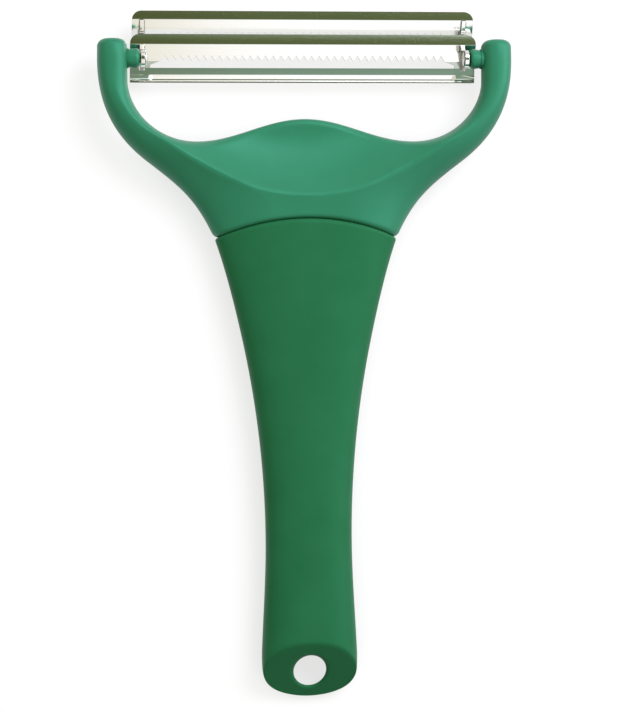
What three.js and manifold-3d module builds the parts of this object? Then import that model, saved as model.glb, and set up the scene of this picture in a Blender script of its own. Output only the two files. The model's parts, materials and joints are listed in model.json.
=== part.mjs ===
// A wide two-blade cabbage shredder: a green Y-shaped handle with a swinging steel blade unit.
// Millimetres. It lies on its back: +X is the right arm, +Y the blade end, +Z the thumb side.
// Pieces are drawn from the pivot axis of the blade unit: a drop runs from it towards the butt.
import * as THREE from 'three';
import { mergeVertices } from 'three/addons/utils/BufferGeometryUtils.js';
import Module from 'manifold-3d';

const wasm = await Module();
wasm.setup();
const { lerp, smoothstep, clamp, degToRad } = THREE.MathUtils;

// Whole handle
const SPAN = 118; // over the outside of the two arms
const HANDLE_DROP = 181.7; // pivot axis to the end of the butt
const PIVOT_HEIGHT = 12.5; // pivot axis above the surface that the handle lies on
const LAND_CUT = 0.35; // how deep the round back is cut flat where it rests
const SECTION_POWER = 2.3; // squareness of the rounded sections, 2 is an ellipse
const FIT = 0.2; // clearance between pieces that fit in each other

// Arms
const ARM_WIDTH = 8.5;
const ARM_DEPTH = 10;
const ARM_RISE = 5.4; // tip of the arm above the pivot axis
const ARM_STRAIGHT = 6; // straight inner edge below the pivot axis
const TIP_ROUND = 2.3;

// Yoke: an upper edge with two troughs and a hump, an outer edge that is convex and then hollow
const TROUGH_HALF = 31.1; // centre line to the lowest point of the upper edge
const TROUGH_DROP = 23.2;
const TROUGH_SWEEP = 12; // how broadly the upper edge rounds the trough
const ARM_SWEEP = 8; // how far the inner edge runs on along the arm before it turns
const HUMP_DROP = 16.8;
const SHOULDER_SWEEP = 13; // how far the outer edge runs on along the arm before it turns
const FLANK_HALF = 44.9; // where the outer edge turns from convex to hollow
const FLANK_DROP = 29;
const FLANK_LEAN = 53; // degrees from the Y axis at that point
const FLANK_SWEEP = 12;
const NECK_LEAN = 25; // degrees from the Y axis where the outer edge meets the grip

// Thumb scoop in the front of the yoke
const RIDGE_DROP = 38.6; // crest below the scoop, on the centre line
const RIDGE_ARM_HALF = 45.7; // where the crest runs out on the arm
const RIDGE_ARM_DROP = 19.2;
const RIDGE_ROUND = 0.8;
const CREST_RISE = 1; // crest above the front of the grip
const BOWL_RUN = 4.4; // from the hump's rim to the deepest line of the scoop
const FLANK_POWER = 1.25; // squareness of the front beside the crest, 1 is a straight slope
const FLANK_GROWTH = 2; // how late the rounding of the outer edge widens towards the seam
const RIM_FRONT = -1; // front of the hump's rim from the pivot axis
const RIM_DEPTH = 5; // thickness of the hump's rim, front to back
const RIM_ROUND = 2.2;
const BACK_RISE_DROP = 36; // the back is at full depth from here to the butt

// Grip
const SEAM_DROP = 45.3; // seam between yoke and grip, on the centre line
const SEAM_SAG = 5.1; // how far the seam falls from the centre line to the sides
const SEAM_HALF = 26.2; // half the width at the seam
const SEAM_GAP = 0.4;
const SEAM_FADE = 30; // length over which the sections of the grip straighten
const WAIST_HALF = 12.3;
const WAIST_FROM_END = 45;
const WAIST_DIP = 1.2; // front of the waist below the front of the seam
const WAIST_RELIEF = 1; // back of the waist above the surface
const BUTT_HALF = 13.6;
const BUTT_ROUND = 13; // length of the rounded end
const BUTT_POWER = 4; // squareness of its corners seen from the front
const BUTT_TIP_POWER = 1.9; // squareness of its tip, below 2 it is slightly pointed
const BUTT_EDGE_POWER = 6; // squareness of that end seen from the side
const FACET_LENGTH = 16.3; // slanted face in front of the hang hole
const FACET_ANGLE = 39;
const FACET_EDGE = 0.5; // rim of the butt below that face
const HOLE_DIAMETER = 9.3; // at the slanted face
const HOLE_BACK_DIAMETER = 12.4; // at the back, so that the wall leans outwards
const HOLE_FROM_END = 7.9;
const WALL = 2.6; // wall of the hollow grip
const CAVITY_FROM_END = 30; // solid length of the butt
const TANG_LENGTH = 42; // tongue of the yoke inside the grip
const TANG_ROOT = 6; // length of the tongue that is one with the yoke

// Pivots
const BOSS_DIAMETER = 5.7;
const BOSS_LENGTH = 3.5; // boss standing in from the arm
const BOSS_ROUND = 1.2;
const BOSS_SEAT = 0.8; // depth of the boss's seat in the arm
const SPIGOT_DIAMETER = 4.4;
const SPIGOT_LENGTH = 4; // spigot beyond the seat
const PIN_DIAMETER = 2.6;
const PIN_FLAT = 1.1; // thickness of the flattened end of the pin
const PIN_END = 4.6; // length of that end inside the boss
const HEAD_DIAMETER = 4;
const HEAD_HEIGHT = 0.5;
const SWING = 30; // degrees each way
const STOP_MARGIN = 1; // degrees left at each stop

// Blade unit
const SHEET = 0.6;
const SIDE_PLAY = 1; // blade end to arm
const END_PLAY = 0.3; // cheek to boss
const LIP_HEIGHT = 2.85; // flat strip along the upper edge of the front blade
const REAR_LIP = 2.4; // the same on the rear blade
const LIP_CORNER = 2.7;
const LIP_SET_BACK = 3.6; // pivot axis to the middle of the front blade's lip
const SLOPE_RUN = 4.45; // sloping strip between the lip and the tooth tips
const SLOPE_ANGLE = 29;
const TOOTH_PITCH = 2.2;
const TOOTH_DEPTH = 1.43;
const WINDOW_HEIGHT = 2; // tooth tips to the guard
const WINDOW_MARGIN = 1.8; // end of the window to the cheek
const WINDOW_SLANT = 2.6; // length of the slanted ends of the window
const WINDOW_END = 0.9; // height of the ends of the window
const GUARD_STEP = 0.4; // guard behind the tooth tips
const GUARD_FLAT = 1.9; // leaning strip, then a slope down to a groove and a hem
const GUARD_LEAN = 7; // degrees
const GUARD_SLOPE = 1.1;
const GUARD_DEPTH = 0.6;
const GUARD_GROOVE = 0.45;
const HEM_RUN = 0.35;
const HEM_RISE = 0.22;
const HEM_EDGE = 0.3;
const GUARD_CORNER = 0.8;
const BLADE_PITCH = 6.67; // rear blade above the front blade
const REAR_SET_BACK = 0.6; // rear blade behind the front blade
const REAR_INSET = 0.6; // end of the rear blade inside the end of the front blade
const CHEEK = 1.2;
const CHEEK_RIB = 0.6; // the cheek stands this far out of the rear blade's slope
const RIB_END = 0.3; // end of that rib below the bend of the rear blade
const LOBE_HALF = 2.5; // half the width of the cheek at the pivot
const RUNNER_SET_BACK = 7.9; // back edge of the cheeks behind the pivot axis

// Fineness of the meshes
const AROUND = 28; // points around a section of the grip
const FRONT_STEPS = 14; // steps across the front of the yoke
const BACK_STEPS = 10;
const CAP_ROWS = 3;
const ARM_ROWS = 12;
const HUMP_ROWS = 9;
const FLARE_ROWS = 12;
const SWELL_ROWS = 6;
const BUTT_ROWS = 7;
const ARC_STEPS = 8;
const LATHE_STEPS = 20;
const EDGE_SAMPLES = 120;
const OUTER_LAG = 1.35; // the outer edge of the yoke starts slower than the inner edge
const SCOOP_START = 0.15; // share of the arm where the scoop begins

// Worked out from the sizes above
const OUTER_HALF = SPAN / 2;
const INNER_HALF = OUTER_HALF - ARM_WIDTH;
const FRONT = ARM_DEPTH / 2;
const BACK = -PIVOT_HEIGHT - LAND_CUT;
const RIM_BACK = RIM_FRONT - RIM_DEPTH;
const SEAM_SIDE_DROP = SEAM_DROP + SEAM_SAG;
const SEAM_RADIUS = (SEAM_HALF ** 2 + SEAM_SAG ** 2) / (2 * SEAM_SAG);
const WAIST_DROP = HANDLE_DROP - WAIST_FROM_END;
const BUTT_DROP = HANDLE_DROP - BUTT_ROUND;
const RIDGE_CURVE = (RIDGE_DROP - RIDGE_ARM_DROP) / RIDGE_ARM_HALF ** 2;
const BOSS_END = INNER_HALF - BOSS_LENGTH;
const BOSS_BASE = INNER_HALF + BOSS_SEAT;
const CHEEK_OUTER = BOSS_END - END_PLAY;
const CHEEK_INNER = CHEEK_OUTER - CHEEK;
const BLADE_HALF = INNER_HALF - SIDE_PLAY;
const LIP_TOP = SLOPE_RUN + LIP_HEIGHT;
const BLADE_TOP = LIP_TOP + BLADE_PITCH;
const SLOPE_FALL = Math.tan(degToRad(SLOPE_ANGLE));
const EDGE_SET_BACK = LIP_SET_BACK + SLOPE_RUN * SLOPE_FALL;
const GUARD_FALL = GUARD_FLAT * Math.tan(degToRad(GUARD_LEAN));
const GROOVE_TOP = -WINDOW_HEIGHT - GUARD_FLAT - GUARD_SLOPE;
const HEM_TOP = GROOVE_TOP - GUARD_GROOVE - HEM_RUN;
const GUARD_BOTTOM = HEM_TOP - HEM_EDGE;
const REAR_HALF = BLADE_HALF - REAR_INSET;
const WINDOW_HALF = CHEEK_INNER - WINDOW_MARGIN;
const TOOTH_COUNT = Math.floor((2 * (WINDOW_HALF - WINDOW_SLANT)) / TOOTH_PITCH);
const TOOTHED_HALF = (TOOTH_COUNT * TOOTH_PITCH) / 2;
const SIDES = { left: -1, right: 1 };

// Solids and meshes

function solid(geometry) {
  geometry.deleteAttribute('normal');
  geometry.deleteAttribute('uv');
  const merged = mergeVertices(geometry);
  const index = merged.index.array;
  const triangles = [];
  for (let i = 0; i < index.length; i += 3) {
    const [a, b, c] = index.subarray(i, i + 3);
    if (a !== b && b !== c && c !== a) triangles.push(a, b, c);
  }
  const vertProperties = new Float32Array(merged.attributes.position.array);
  const triVerts = new Uint32Array(triangles);
  return new wasm.Manifold(new wasm.Mesh({ numProp: 3, vertProperties, triVerts }));
}

function meshOf(name, body, material) {
  const { vertProperties, triVerts } = body.getMesh();
  const geometry = new THREE.BufferGeometry();
  geometry.setAttribute('position', new THREE.BufferAttribute(vertProperties, 3));
  geometry.setIndex(new THREE.BufferAttribute(triVerts, 1));
  geometry.computeVertexNormals();
  const mesh = new THREE.Mesh(geometry, material.clone());
  mesh.name = name;
  return mesh;
}

function middleOf(points) {
  const sum = new THREE.Vector3();
  points.forEach((point) => sum.add(point));
  return sum.divideScalar(points.length);
}

// Closed skin over rows of points: each row is a loop, and the two end loops are capped.
function loft(rows) {
  const count = rows[0].length;
  const last = (rows.length - 1) * count;
  const points = [...rows.flat(), middleOf(rows[0]), middleOf(rows.at(-1))];
  const [start, end] = [points.length - 2, points.length - 1];
  const faces = [];
  for (let i = 0; i < count; i++) {
    const next = (i + 1) % count;
    for (let row = 0; row < last; row += count) {
      const [a, b] = [row + i, row + next];
      faces.push(a, b, b + count, a, b + count, a + count);
    }
    faces.push(start, next, i, end, last + i, last + next);
  }
  const geometry = new THREE.BufferGeometry().setFromPoints(points);
  geometry.setIndex(faces);
  return solid(geometry);
}

const SHAPE_TO_YZ = new THREE.Matrix4().makeBasis(
  new THREE.Vector3(0, 1, 0),
  new THREE.Vector3(0, 0, 1),
  new THREE.Vector3(1, 0, 0),
);

function pulled(shape, from, to) {
  const settings = { depth: to - from, bevelEnabled: false, curveSegments: ARC_STEPS };
  return new THREE.ExtrudeGeometry(shape, settings).translate(0, 0, from);
}

// A shape drawn in (y, z), pulled along X.
function alongX(shape, from, to) {
  return solid(pulled(shape, from, to).applyMatrix4(SHAPE_TO_YZ));
}

// The same between two distances from the centre line, on one side of it.
function onSide(shape, side, inner, outer) {
  return side > 0 ? alongX(shape, inner, outer) : alongX(shape, -outer, -inner);
}

// A shape drawn in (x, y), pulled along Z.
function alongZ(shape, from, to) {
  return solid(pulled(shape, from, to));
}

// A turned piece on the pivot axis: its profile is (radius, distance from the centre line).
function turned(profile, side) {
  const points = profile.map(([radius, x]) => new THREE.Vector2(radius, x));
  const geometry = new THREE.LatheGeometry(points, LATHE_STEPS);
  return solid(geometry.rotateZ((-side * Math.PI) / 2));
}

function polygon(pairs) {
  return new THREE.Shape(pairs.map(([a, b]) => new THREE.Vector2(a, b)));
}

function rectangle(x0, y0, x1, y1) {
  return polygon([[x0, y0], [x1, y0], [x1, y1], [x0, y1]]);
}

function disc(x, y, radius) {
  return new THREE.Shape().absarc(x, y, radius, 0, 2 * Math.PI);
}

// 0 at an edge, 1 from a distance of reach inwards, round in between.
function rounding(distance, reach, power) {
  const outside = 1 - clamp(distance / reach, 0, 1);
  return (1 - outside ** power) ** (1 / power);
}

// The smaller of two heights, with the crease between them rounded.
function softMin(a, b, round) {
  const near = Math.max(round - Math.abs(a - b), 0);
  return Math.min(a, b) - (near * near) / (4 * round);
}

// Outlines of the handle, right half

function sweep(length, lean) {
  return [length * Math.sin(degToRad(lean)), length * Math.cos(degToRad(lean))];
}

const [flankX, flankY] = sweep(FLANK_SWEEP, FLANK_LEAN);
const [neckX, neckY] = sweep(FLANK_SWEEP, NECK_LEAN);
const shoulder = [FLANK_HALF + flankX, -FLANK_DROP + flankY];
const hollow = [FLANK_HALF - flankX, -FLANK_DROP - flankY];
const neck = [SEAM_HALF + neckX, -SEAM_SIDE_DROP + neckY];
const outerEdge = new THREE.Path();
outerEdge.moveTo(OUTER_HALF, 0);
outerEdge.bezierCurveTo(OUTER_HALF, -SHOULDER_SWEEP, ...shoulder, FLANK_HALF, -FLANK_DROP);
outerEdge.bezierCurveTo(...hollow, ...neck, SEAM_HALF, -SEAM_SIDE_DROP);
const outerPoints = outerEdge.getSpacedPoints(EDGE_SAMPLES);

const bend = [INNER_HALF, -ARM_STRAIGHT - ARM_SWEEP];
const trough = [TROUGH_HALF + TROUGH_SWEEP, -TROUGH_DROP];
const innerEdge = new THREE.Path();
innerEdge.moveTo(INNER_HALF, 0);
innerEdge.lineTo(INNER_HALF, -ARM_STRAIGHT);
innerEdge.bezierCurveTo(...bend, ...trough, TROUGH_HALF, -TROUGH_DROP);

// Half the width of the yoke at height y.
function yokeHalf(y) {
  const below = outerPoints.findIndex((point) => point.y <= y);
  if (below === 0) return OUTER_HALF;
  if (below < 0) return SEAM_HALF;
  const [a, b] = [outerPoints[below - 1], outerPoints[below]];
  return lerp(a.x, b.x, (y - a.y) / (b.y - a.y));
}

function humpDrop(x) {
  const wave = Math.cos((Math.PI * x) / TROUGH_HALF);
  return (TROUGH_DROP + HUMP_DROP - wave * (TROUGH_DROP - HUMP_DROP)) / 2;
}

function seamFall(x) {
  return SEAM_RADIUS - Math.sqrt(SEAM_RADIUS ** 2 - x ** 2);
}

// Grip

// 1 at the seam, 0 at the waist, and from there up to 1 again at the butt.
function flare(drop) {
  if (drop < WAIST_DROP) return ((WAIST_DROP - drop) / (WAIST_DROP - SEAM_SIDE_DROP)) ** 2;
  const share = clamp((drop - WAIST_DROP) / (BUTT_DROP - WAIST_DROP), 0, 1);
  return share * share * (2 - share);
}

function gripHalf(drop) {
  return lerp(WAIST_HALF, drop < WAIST_DROP ? SEAM_HALF : BUTT_HALF, flare(drop));
}

function gripFront(drop) {
  return FRONT - (drop < WAIST_DROP ? WAIST_DIP * (1 - flare(drop)) : WAIST_DIP);
}

function gripBack(drop) {
  return BACK + (WAIST_RELIEF + LAND_CUT) * (1 - flare(drop));
}

// The slanted face of the butt.
function facetHeight(drop) {
  return gripFront(HANDLE_DROP) + (HANDLE_DROP - FACET_LENGTH - drop) * Math.tan(degToRad(FACET_ANGLE));
}

// One section of the grip, drawn in by inset. Near the seam it bends to the seam's arc.
// At the butt its widest level follows the slanted face down.
function gripRow(drop, inset) {
  const end = clamp((drop - BUTT_DROP) / BUTT_ROUND, 0, 1);
  const half = (gripHalf(drop) - inset) * (1 - end ** BUTT_POWER) ** (1 / BUTT_TIP_POWER);
  const front = gripFront(drop) - inset;
  const back = gripBack(drop) + inset;
  const middle = Math.min((front + back) / 2, facetHeight(drop) - FACET_EDGE);
  const full = (1 - end ** BUTT_EDGE_POWER) ** (1 / BUTT_EDGE_POWER);
  const arc = clamp(1 - (drop - SEAM_SIDE_DROP) / SEAM_FADE, 0, 1) ** 2;
  const row = [];
  for (let i = 0; i < AROUND; i++) {
    const angle = (2 * Math.PI * i) / AROUND;
    const x = half * bulge(Math.cos(angle));
    const y = -drop + arc * (SEAM_SAG - seamFall(x));
    const rise = full * bulge(Math.sin(angle));
    row.push(new THREE.Vector3(x, y, lerp(middle, rise > 0 ? front : back, Math.abs(rise))));
  }
  return row;
}

function bulge(value) {
  return Math.sign(value) * Math.abs(value) ** (2 / SECTION_POWER);
}

function gripRows(from, to, steps, inset) {
  return Array.from({ length: steps + 1 }, (_, i) => gripRow(lerp(from, to, i / steps), inset));
}

function surfaceCut() {
  const width = OUTER_HALF + WALL;
  return alongZ(rectangle(-width, -HANDLE_DROP - WALL, width, WALL), BACK - WALL, -PIVOT_HEIGHT);
}

function gripBody() {
  const top = SEAM_SIDE_DROP + SEAM_GAP;
  const butt = Array.from({ length: BUTT_ROWS }, (_, i) => {
    const share = Math.sin((Math.PI / 2) * ((i + 1) / BUTT_ROWS));
    return gripRow(lerp(BUTT_DROP, HANDLE_DROP, share), 0);
  });
  const skin = loft([
    ...gripRows(top, WAIST_DROP, FLARE_ROWS, 0),
    ...gripRows(WAIST_DROP, BUTT_DROP, SWELL_ROWS, 0).slice(1),
    ...butt,
  ]);
  const cavityEnd = HANDLE_DROP - CAVITY_FROM_END;
  const cavity = loft(gripRows(SEAM_SIDE_DROP - WALL, cavityEnd, FLARE_ROWS, WALL));
  return skin.subtract(cavity).subtract(hangHole()).subtract(facetCut()).subtract(surfaceCut());
}

function hangHole() {
  const drop = HANDLE_DROP - HOLE_FROM_END;
  const [front, back] = [HOLE_DIAMETER / 2, HOLE_BACK_DIAMETER / 2];
  const profile = [[0, BACK], [back, BACK], [front, facetHeight(drop)], [front, FRONT], [0, FRONT]];
  const points = profile.map(([radius, z]) => new THREE.Vector2(radius, z));
  return solid(new THREE.LatheGeometry(points, AROUND).rotateX(Math.PI / 2).translate(0, -drop, 0));
}

function facetCut() {
  const start = FACET_LENGTH - HANDLE_DROP;
  const front = gripFront(HANDLE_DROP);
  const beyond = -HANDLE_DROP - WALL;
  const low = facetHeight(-beyond);
  const shape = polygon([[start, front], [start, front + WALL], [beyond, front + WALL], [beyond, low]]);
  return alongX(shape, -BUTT_HALF - WALL, BUTT_HALF + WALL);
}

// Yoke

// The crest is an arc seen from the front.
function crestLine(x) {
  return RIDGE_CURVE * x * x - RIDGE_DROP;
}

// 0 at the seam, 1 from the crest upwards.
function aboveSeam(x, y) {
  const seam = -SEAM_DROP - seamFall(Math.min(x, SEAM_HALF));
  return clamp((y - seam) / (crestLine(x) - seam), 0, 1);
}

// Front of the scoop: a bowl that dips below the hump's rim and climbs to the crest.
function scoopHeight(x, y) {
  const run = RIDGE_DROP - HUMP_DROP;
  const below = Math.max(run - (y - crestLine(x)), 0);
  const rise = (below * (below - 2 * BOWL_RUN)) / (run * (run - 2 * BOWL_RUN));
  return lerp(RIM_FRONT, FRONT + CREST_RISE, rise);
}

// One section between a point of the inner edge and a point of the outer edge.
// spread is 0 on the arms and 1 across the scoop; inset draws the section in at the arm tips.
function yokeRow(inner, outer, side, spread, inset) {
  const halfArm = ARM_WIDTH / 2 - inset;
  const width = inner.distanceTo(outer);
  const place = (share, front) => {
    const w = (1 - Math.cos(Math.PI * share)) / 2;
    const x = lerp(inner.x, outer.x, w);
    const y = lerp(inner.y, outer.y, w);
    const grow = clamp((-y - ARM_STRAIGHT) / (SEAM_SIDE_DROP - ARM_STRAIGHT), 0, 1) ** FLANK_GROWTH;
    const outerReach = lerp(halfArm, yokeHalf(y), grow);
    const innerReach = lerp(halfArm, RIM_ROUND, spread);
    const lift = spread * aboveSeam(x, y);
    const power = front ? lerp(SECTION_POWER, FLANK_POWER, lift) : SECTION_POWER;
    const outerRound = rounding(yokeHalf(y) - inset - x, outerReach, power);
    const round = outerRound * rounding(w * width, innerReach, SECTION_POWER);
    const level = spread * lerp((RIM_FRONT + RIM_BACK) / 2, (FRONT + BACK) / 2, w);
    const scoop = lerp(FRONT + RIDGE_ROUND, scoopHeight(x, y), spread);
    const rise = smoothstep(-y, HUMP_DROP, BACK_RISE_DROP);
    const top = softMin(scoop, FRONT + CREST_RISE * lift, RIDGE_ROUND) - inset;
    const bottom = lerp(-ARM_DEPTH / 2, lerp(RIM_BACK, BACK, rise), spread) + inset;
    return new THREE.Vector3(side * x, y, lerp(level, front ? top : bottom, round));
  };
  const backs = Array.from({ length: BACK_STEPS + 1 }, (_, i) => place(i / BACK_STEPS, false));
  const fronts = Array.from({ length: FRONT_STEPS + 1 }, (_, i) => place(1 - i / FRONT_STEPS, true));
  return [...backs, ...fronts];
}

// Rows from the tip of one arm to the centre line.
function yokeRows(side) {
  const rows = [];
  for (let i = 0; i < CAP_ROWS; i++) {
    const turn = (Math.PI / 2) * (1 - i / CAP_ROWS);
    const inset = TIP_ROUND * (1 - Math.cos(turn));
    const y = ARM_RISE - TIP_ROUND * (1 - Math.sin(turn));
    const inner = new THREE.Vector2(INNER_HALF + inset, y);
    const outer = new THREE.Vector2(OUTER_HALF - inset, y);
    rows.push(yokeRow(inner, outer, side, 0, inset));
  }
  for (let i = 0; i <= ARM_ROWS; i++) {
    const share = i / ARM_ROWS;
    const inner = innerEdge.getPointAt(share);
    const outer = outerEdge.getPointAt(share ** OUTER_LAG);
    rows.push(yokeRow(inner, outer, side, smoothstep(share, SCOOP_START, 1), 0));
  }
  for (let i = 1; i <= HUMP_ROWS; i++) {
    const share = 1 - i / HUMP_ROWS;
    const [xIn, xOut] = [TROUGH_HALF * share, SEAM_HALF * share];
    const inner = new THREE.Vector2(xIn, -humpDrop(xIn));
    const outer = new THREE.Vector2(xOut, -SEAM_DROP - seamFall(xOut));
    rows.push(yokeRow(inner, outer, side, 1, 0));
  }
  return rows;
}

function yokeBody() {
  const skin = loft([...yokeRows(1), ...yokeRows(-1).reverse().slice(1)]);
  const root = SEAM_SIDE_DROP - TANG_ROOT;
  const tang = loft(gripRows(root, SEAM_SIDE_DROP + TANG_LENGTH, FLARE_ROWS, WALL + FIT));
  const bores = Object.values(SIDES).map((side) => bushBore(side));
  return [surfaceCut(), ...bores].reduce((body, cut) => body.subtract(cut), skin.add(tang));
}

// Pivots

function bushBore(side) {
  const [seat, bore] = [BOSS_DIAMETER / 2 + FIT, SPIGOT_DIAMETER / 2 + FIT];
  const end = BOSS_BASE + SPIGOT_LENGTH + FIT;
  const wide = [[0, BOSS_END], [seat, BOSS_END], [seat, BOSS_BASE]];
  return turned([...wide, [bore, BOSS_BASE], [bore, end], [0, end]], side);
}

// Slot that lets the flattened pin swing: two sectors, and a waist whose corners stop the pin.
function swingSlot() {
  const radius = PIN_DIAMETER / 2 + FIT;
  const half = PIN_FLAT / 2 + FIT;
  const limit = degToRad(SWING + STOP_MARGIN);
  const sector = limit + Math.asin(half / radius);
  const waist = half / Math.cos(limit);
  const shape = new THREE.Shape();
  shape.moveTo(waist, 0);
  shape.absarc(0, 0, radius, Math.PI / 2 - sector, Math.PI / 2 + sector);
  shape.lineTo(-waist, 0);
  shape.absarc(0, 0, radius, -Math.PI / 2 - sector, -Math.PI / 2 + sector);
  return shape;
}

function bushBody(side) {
  const [boss, spigot] = [BOSS_DIAMETER / 2, SPIGOT_DIAMETER / 2];
  const base = BOSS_BASE - FIT;
  const end = BOSS_BASE + SPIGOT_LENGTH;
  const rim = Array.from({ length: ARC_STEPS + 1 }, (_, i) => {
    const turn = ((Math.PI / 2) * i) / ARC_STEPS;
    const inset = BOSS_ROUND * (1 - Math.sin(turn));
    return [boss - inset, BOSS_END + BOSS_ROUND * (1 - Math.cos(turn))];
  });
  const body = turned([[0, BOSS_END], ...rim, [boss, base], [spigot, base], [spigot, end], [0, end]], side);
  const depth = BOSS_END + PIN_END + END_PLAY;
  return body.subtract(onSide(swingSlot(), side, CHEEK_OUTER, depth));
}

function pinBody(side) {
  const [pin, head] = [PIN_DIAMETER / 2, HEAD_DIAMETER / 2];
  const under = CHEEK_INNER - FIT;
  const dome = Array.from({ length: ARC_STEPS }, (_, i) => {
    const turn = ((Math.PI / 2) * i) / ARC_STEPS;
    return [head * Math.sin(turn), under - HEAD_HEIGHT * Math.cos(turn)];
  });
  const end = BOSS_END + PIN_END;
  const body = turned([...dome, [head, under], [pin, under], [pin, end], [0, end]], side);
  const [near, far] = [PIN_FLAT / 2, PIN_DIAMETER];
  const flats = [rectangle(near, -far, far, far), rectangle(-far, -far, -near, far)];
  return flats.reduce((cut, flat) => cut.subtract(onSide(flat, side, CHEEK_OUTER, end + FIT)), body);
}

// Blade unit

// Middle of the sheet of the front blade in (y, z): lip, slope, window, guard.
const guardBack = -EDGE_SET_BACK - GUARD_STEP;
const groove = guardBack - GUARD_FALL - GUARD_DEPTH;
const frontLine = [
  [LIP_TOP, -LIP_SET_BACK],
  [SLOPE_RUN, -LIP_SET_BACK],
  [0, -EDGE_SET_BACK],
  [-WINDOW_HEIGHT, guardBack],
  [-WINDOW_HEIGHT - GUARD_FLAT, guardBack - GUARD_FALL],
  [GROOVE_TOP, groove],
  [GROOVE_TOP - GUARD_GROOVE, groove],
  [HEM_TOP, groove + HEM_RISE],
  [GUARD_BOTTOM, groove + HEM_RISE],
];
const rearBack = -LIP_SET_BACK - REAR_SET_BACK;
const rearLine = [
  [BLADE_TOP, rearBack],
  [BLADE_TOP - REAR_LIP, rearBack],
  [BLADE_PITCH, rearBack - (LIP_TOP - REAR_LIP) * SLOPE_FALL],
];

// The same line moved sideways: towards the front for a positive distance.
function beside(line, distance) {
  const normals = line.slice(1).map(([y, z], i) => {
    const [dy, dz] = [y - line[i][0], z - line[i][1]];
    return new THREE.Vector2(dz, -dy).normalize();
  });
  return line.map(([y, z], i) => {
    const before = normals[Math.max(i - 1, 0)];
    const after = normals[Math.min(i, normals.length - 1)];
    const across = before.clone().add(after).normalize();
    const reach = distance / across.dot(before);
    return [y + across.x * reach, z + across.y * reach];
  });
}

function sheetBody(line, half) {
  const section = [...beside(line, SHEET / 2), ...beside(line, -SHEET / 2).reverse()];
  return alongX(polygon(section), -half, half);
}

// Tooth tips and roots from right to left, with the tips at height y.
function teeth(y) {
  const points = [[TOOTHED_HALF, y]];
  for (let i = 0; i < TOOTH_COUNT; i++) {
    const tip = TOOTHED_HALF - (i + 1) * TOOTH_PITCH;
    points.push([tip + TOOTH_PITCH / 2, y + TOOTH_DEPTH], [tip, y]);
  }
  return points;
}

// Upper outline of a blade, from its right end over the lip to its left end.
function lipOutline(shape, top, half) {
  shape.absarc(half - LIP_CORNER, top - LIP_CORNER, LIP_CORNER, 0, Math.PI / 2);
  shape.absarc(LIP_CORNER - half, top - LIP_CORNER, LIP_CORNER, Math.PI / 2, Math.PI);
}

function frontBladeBody() {
  const corner = BLADE_HALF - GUARD_CORNER;
  const low = GUARD_BOTTOM + GUARD_CORNER;
  const plan = new THREE.Shape();
  plan.absarc(-corner, low, GUARD_CORNER, Math.PI, 1.5 * Math.PI);
  plan.absarc(corner, low, GUARD_CORNER, 1.5 * Math.PI, 2 * Math.PI);
  lipOutline(plan, LIP_TOP, BLADE_HALF);
  const sill = -WINDOW_HEIGHT;
  const ends = sill + WINDOW_END;
  plan.holes.push(polygon([
    [-WINDOW_HALF, ends], [-WINDOW_HALF, sill], [WINDOW_HALF, sill], [WINDOW_HALF, ends],
    ...teeth(0),
  ]));
  const body = sheetBody(frontLine, BLADE_HALF).intersect(alongZ(plan, BACK, FRONT));
  return Object.values(SIDES).reduce((cut, side) => cut.subtract(lobeSlot(side)), body);
}

// Slot in the front blade for the lobe of a cheek.
function lobeSlot(side) {
  const half = LOBE_HALF + FIT;
  const shape = rectangle(-half, BACK, half, FRONT);
  return onSide(shape, side, CHEEK_INNER - FIT, CHEEK_OUTER + FIT);
}

function rearBladeBody() {
  const plan = new THREE.Shape();
  plan.moveTo(-REAR_HALF, BLADE_PITCH);
  teeth(BLADE_PITCH).reverse().forEach(([x, y]) => plan.lineTo(x, y));
  plan.lineTo(REAR_HALF, BLADE_PITCH);
  lipOutline(plan, BLADE_TOP, REAR_HALF);
  return sheetBody(rearLine, REAR_HALF).intersect(alongZ(plan, BACK, FRONT));
}

// Height z of a line in (y, z) at y.
function heightAt(line, y) {
  const i = line.findIndex((point) => point[0] <= y);
  const [a, b] = [line[i - 1], line[i]];
  return lerp(a[1], b[1], (y - a[0]) / (b[0] - a[0]));
}

// A cheek fills the space between the two blades and carries the pin in a lobe that passes
// through the front blade. A rib of it runs on along the slope of the rear blade.
function cheekBody(side) {
  const front = beside(frontLine, -SHEET / 2 - FIT);
  const rear = beside(rearLine, SHEET / 2 + FIT);
  const rib = beside(rearLine, SHEET / 2 + FIT + CHEEK_RIB);
  const [foot, level] = [rear[2], front[1][1]];
  const ribEnd = BLADE_TOP - REAR_LIP - RIB_END;
  const shape = new THREE.Shape();
  shape.moveTo(-LOBE_HALF, -RUNNER_SET_BACK);
  shape.lineTo(foot[0], -RUNNER_SET_BACK);
  shape.lineTo(...foot);
  shape.lineTo(ribEnd, heightAt(rear, ribEnd));
  shape.lineTo(ribEnd, heightAt(rib, ribEnd));
  shape.lineTo(LIP_TOP, heightAt(rib, LIP_TOP));
  shape.lineTo(LIP_TOP, level);
  shape.lineTo(front[1][0], level);
  shape.lineTo(LOBE_HALF, heightAt(front, LOBE_HALF));
  shape.absarc(0, 0, LOBE_HALF, 0, Math.PI);
  shape.holes.push(disc(0, 0, PIN_DIAMETER / 2 + FIT));
  return onSide(shape, side, CHEEK_INNER, CHEEK_OUTER);
}

// Assembly

const green = new THREE.MeshStandardMaterial({ color: '#2c8059', roughness: 0.5, metalness: 0 });
const steel = new THREE.MeshStandardMaterial({ color: '#c9cac4', roughness: 0.2, metalness: 1 });

const handle = new THREE.Group();
handle.add(meshOf('yoke', yokeBody(), green));
handle.add(meshOf('grip', gripBody(), green));

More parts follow.
